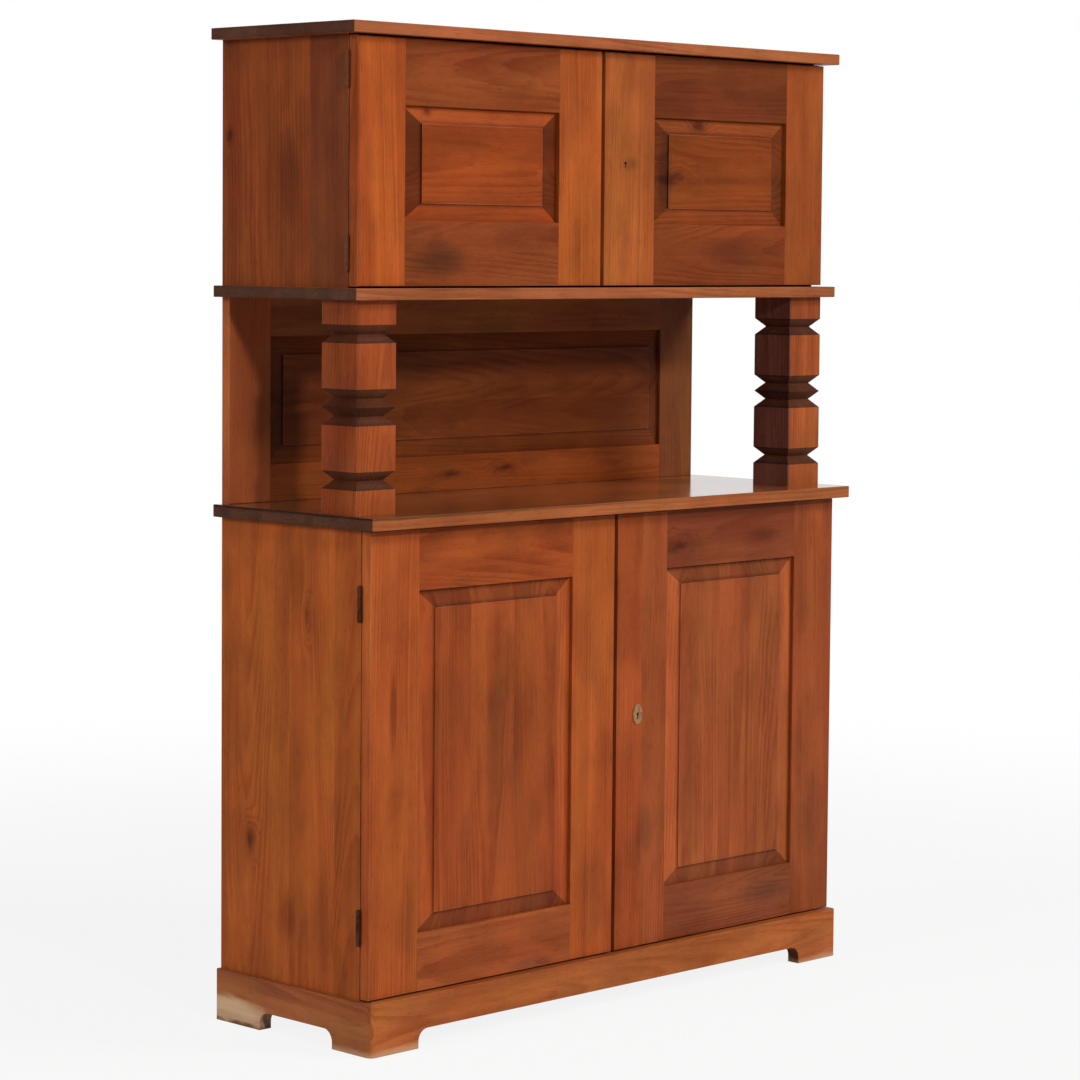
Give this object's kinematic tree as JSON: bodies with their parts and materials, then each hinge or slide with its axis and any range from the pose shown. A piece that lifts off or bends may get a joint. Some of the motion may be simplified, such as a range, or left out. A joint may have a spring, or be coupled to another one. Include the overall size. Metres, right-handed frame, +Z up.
{
  "type": "two-stage cupboard",
  "caption": "Two-stage pine cupboard: doored cabinet on a footed plinth, counter and open niche between notched posts, doored upper cabinet.",
  "frame": {"origin": "middle of the footprint, on the floor", "axes": "+X to the piece's right seen from the front, +Y to the rear (the wall), +Z up"},
  "size_m": [1.257, 0.416, 1.75],
  "materials": {
    "lacquered_pine": "satin",
    "panel_pine": "satin",
    "bare_pine": "matte",
    "hinge_iron": "dark, worn",
    "screw_steel": "satin",
    "lock_steel": "satin",
    "plate_brass": "aged"
  },
  "bodies": {
    "cabinet": {"counter_board": "lacquered_pine", "hinge_frame_leaves": "hinge_iron", "hinge_frame_screws": "screw_steel", "hinge_pins": "hinge_iron", "lower_back_boards": "bare_pine", "lower_bottom": "bare_pine", "lower_shelf": "bare_pine", "lower_side_left": "lacquered_pine", "lower_side_right": "lacquered_pine", "lower_top_rails": "bare_pine", "middle_board": "lacquered_pine", "niche_panel": "panel_pine", "niche_rail_bottom": "lacquered_pine", "niche_rail_top": "lacquered_pine", "niche_stile_left": "lacquered_pine", "niche_stile_right": "lacquered_pine", "plinth_back": "bare_pine", "plinth_front": "lacquered_pine", "plinth_glue_blocks": "bare_pine", "plinth_left": "lacquered_pine", "plinth_right": "lacquered_pine", "post_left": "lacquered_pine", "post_right": "lacquered_pine", "top_board": "lacquered_pine", "upper_back_boards": "bare_pine", "upper_side_left": "lacquered_pine", "upper_side_right": "lacquered_pine"},
    "lower_right_door": {"lower_keyhole_plate": "plate_brass", "lower_lock_case": "lock_steel", "lower_right_bottom_rail": "lacquered_pine", "lower_right_hinge_leaves": "hinge_iron", "lower_right_hinge_screws": "screw_steel", "lower_right_hinge_stile": "lacquered_pine", "lower_right_lock_stile": "lacquered_pine", "lower_right_panel": "panel_pine", "lower_right_top_rail": "lacquered_pine"},
    "lower_left_door": {"lower_left_bottom_rail": "lacquered_pine", "lower_left_hinge_leaves": "hinge_iron", "lower_left_hinge_screws": "screw_steel", "lower_left_hinge_stile": "lacquered_pine", "lower_left_meeting_stile": "lacquered_pine", "lower_left_panel": "panel_pine", "lower_left_top_rail": "lacquered_pine"},
    "lower_lock_bolt": {"lower_lock_bolt": "lock_steel"},
    "upper_left_door": {"upper_left_bottom_rail": "lacquered_pine", "upper_left_hinge_leaves": "hinge_iron", "upper_left_hinge_screws": "screw_steel", "upper_left_hinge_stile": "lacquered_pine", "upper_left_meeting_stile": "lacquered_pine", "upper_left_panel": "panel_pine", "upper_left_top_rail": "lacquered_pine"},
    "upper_lock_bolt": {"upper_lock_bolt": "lock_steel"},
    "upper_right_door": {"upper_lock_case": "lock_steel", "upper_right_bottom_rail": "lacquered_pine", "upper_right_hinge_leaves": "hinge_iron", "upper_right_hinge_screws": "screw_steel", "upper_right_hinge_stile": "lacquered_pine", "upper_right_lock_stile": "lacquered_pine", "upper_right_panel": "panel_pine", "upper_right_top_rail": "lacquered_pine"}
  },
  "joints": [
    {"name": "lower_left_door_hinge", "type": "hinge", "parent": "cabinet", "child": "lower_left_door", "pos_m": [-0.6068, -0.16, 0.4945], "axis": [0, 0, -1], "range_deg": [0, 180]},
    {"name": "lower_right_door_hinge", "type": "hinge", "parent": "cabinet", "child": "lower_right_door", "pos_m": [0.6068, -0.16, 0.4945], "axis": [0, 0, 1], "range_deg": [0, 180]},
    {"name": "upper_left_door_hinge", "type": "hinge", "parent": "cabinet", "child": "upper_left_door", "pos_m": [-0.6068, -0.123, 1.5165], "axis": [0, 0, -1], "range_deg": [0, 180]},
    {"name": "upper_right_door_hinge", "type": "hinge", "parent": "cabinet", "child": "upper_right_door", "pos_m": [0.6068, -0.123, 1.5165], "axis": [0, 0, 1], "range_deg": [0, 180]},
    {"name": "lower_bolt_slide", "type": "slide", "parent": "lower_right_door", "child": "lower_lock_bolt", "axis": [-1, 0, 0], "range_m": [0, 0.017]},
    {"name": "upper_bolt_slide", "type": "slide", "parent": "upper_right_door", "child": "upper_lock_bolt", "axis": [-1, 0, 0], "range_m": [0, 0.017]}
  ]
}
